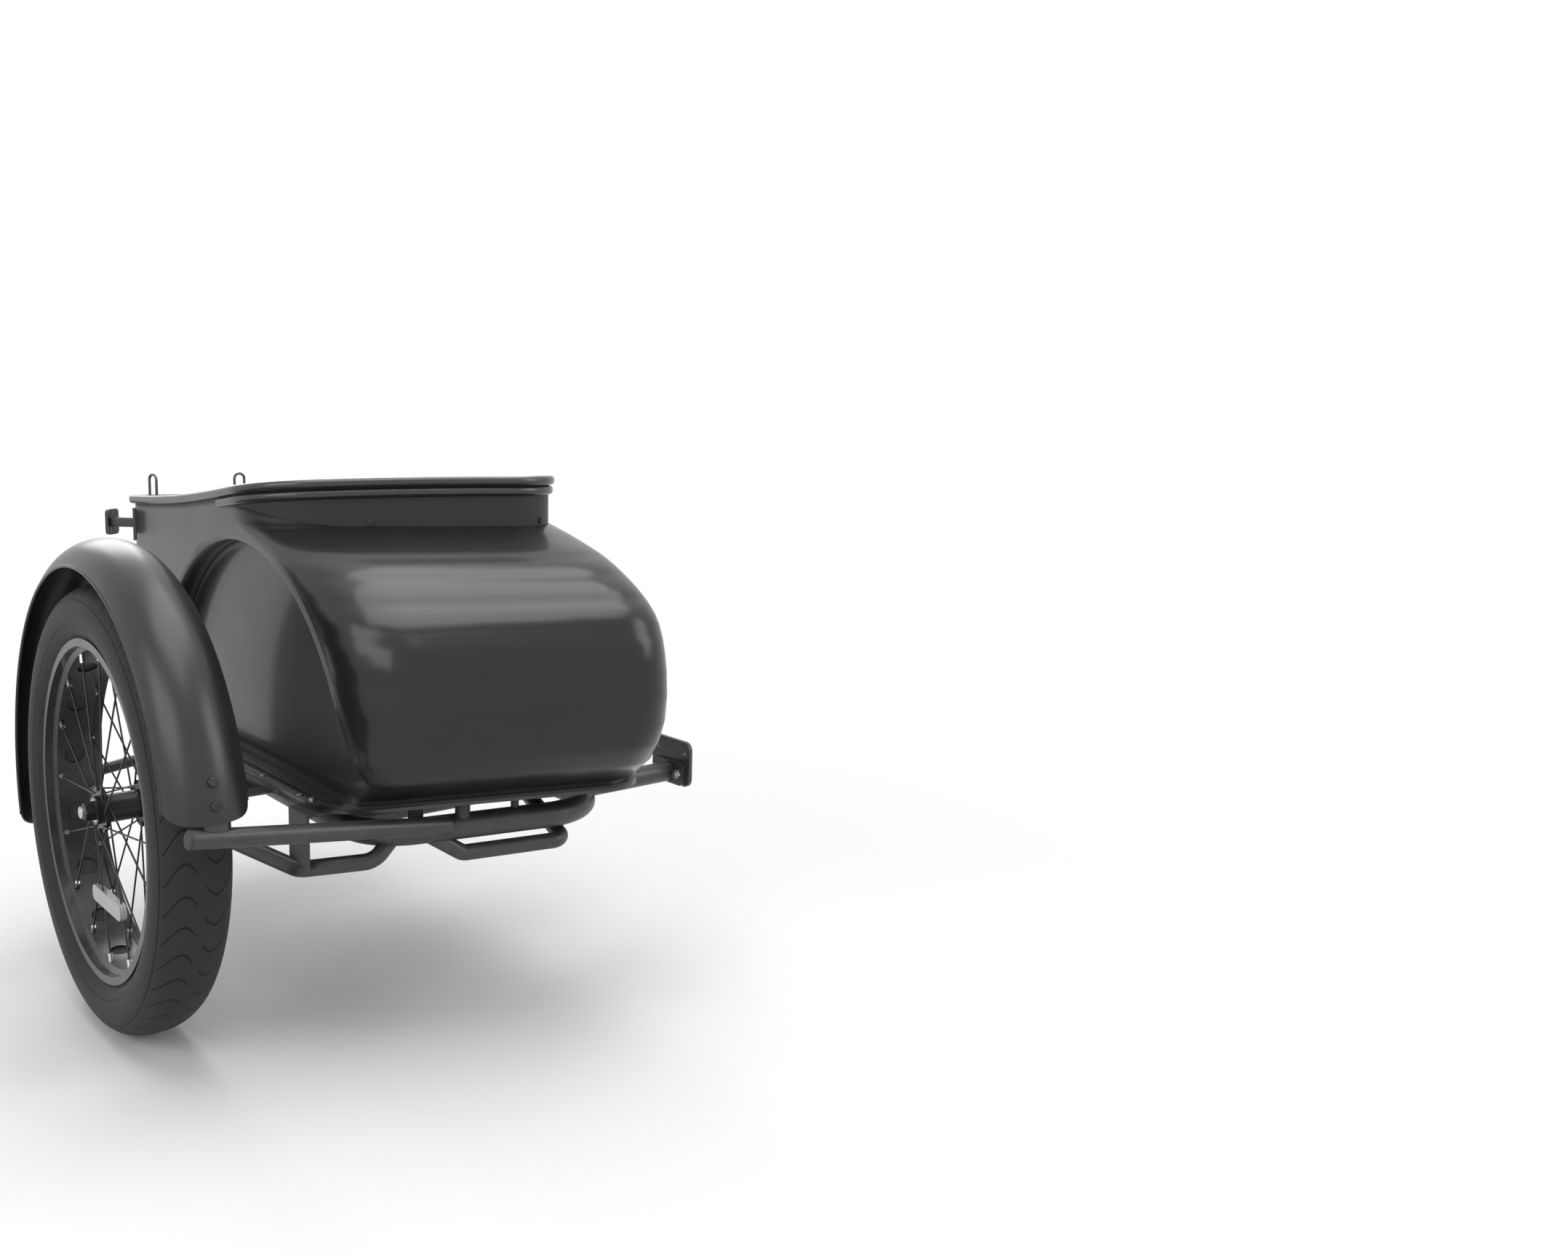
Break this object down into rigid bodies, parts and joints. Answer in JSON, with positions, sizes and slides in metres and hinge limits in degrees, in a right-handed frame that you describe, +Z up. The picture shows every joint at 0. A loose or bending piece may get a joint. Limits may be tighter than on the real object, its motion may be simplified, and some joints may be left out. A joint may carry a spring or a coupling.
{
  "type": "bicycle sidecar",
  "caption": "Bicycle sidecar: a smooth open tub with a padded seat on a bent-tube chassis, carried by one spoked wheel under a half-round fender, with plates that bolt to a bicycle's side.",
  "frame": {"origin": "centre of the bore in the rear mounting plate, on its face towards the bicycle", "axes": "+X forwards, +Y towards the bicycle, +Z up"},
  "size_m": [0.9214, 0.71, 0.685],
  "materials": {
    "tub_gloss": "gloss",
    "moulding": "gloss",
    "coaming": "satin",
    "bead": "satin",
    "board": "matt",
    "upholstery": "satin",
    "mat": "matt",
    "frame_paint": "satin",
    "fender_paint": "satin",
    "steel": "satin",
    "dark_steel": "satin",
    "rubber": "matt",
    "tyre": "matt",
    "rim_paint": "satin",
    "nipple": "polished",
    "clear_lens": "gloss",
    "red_lens": "gloss"
  },
  "bodies": {
    "chassis": {"tub_shell": "tub_gloss", "floor_pan": "moulding", "cockpit_coaming": "coaming", "coaming_bead": "bead", "rim_bead": "bead", "rear_deck": "moulding", "tie_down_loops": "steel", "flange_rivets": "steel", "coaming_screws": "dark_steel", "floor_mat": "mat", "seat_box": "moulding", "seat_board": "board", "seat_cushion": "upholstery", "back_board": "board", "back_cushion": "upholstery", "frame_rail": "frame_paint", "rear_cross_tube": "frame_paint", "axle_cross_tube": "frame_paint", "front_cross_tube": "frame_paint", "axle_beam": "frame_paint", "axle_carrier": "frame_paint", "stub_axle": "steel", "axle_spacer": "steel", "axle_washer": "steel", "axle_nut": "steel", "bumper_tube": "frame_paint", "bumper_plug": "rubber", "outer_brace": "frame_paint", "inner_brace": "frame_paint", "brace_hanger": "frame_paint", "tub_posts": "rubber", "post_bolts": "steel", "rear_stay": "frame_paint", "fender": "fender_paint", "fender_front_tab": "frame_paint", "fender_bolts": "steel", "rear_mount_arm": "frame_paint", "rear_mount_plate": "frame_paint", "front_mount_arm": "frame_paint", "front_mount_plate": "frame_paint", "mount_plate_bolts": "steel", "reflector_bracket": "frame_paint", "rear_reflector": "red_lens", "reflector_bolts": "steel"},
    "wheel": {"tyre": "tyre", "inner_tube": "rubber", "rim": "rim_paint", "rim_tape": "rubber", "valve_stem": "steel", "hub_shell": "rim_paint", "hub_bearings": "steel", "spokes": "dark_steel", "nipples": "nipple", "spoke_reflector": "clear_lens"}
  },
  "joints": [
    {"name": "wheel_spin", "type": "hinge", "parent": "chassis", "child": "wheel", "pos_m": [0.056, -0.663, -0.062], "axis": [0, 1, 0], "continuous": true}
  ]
}
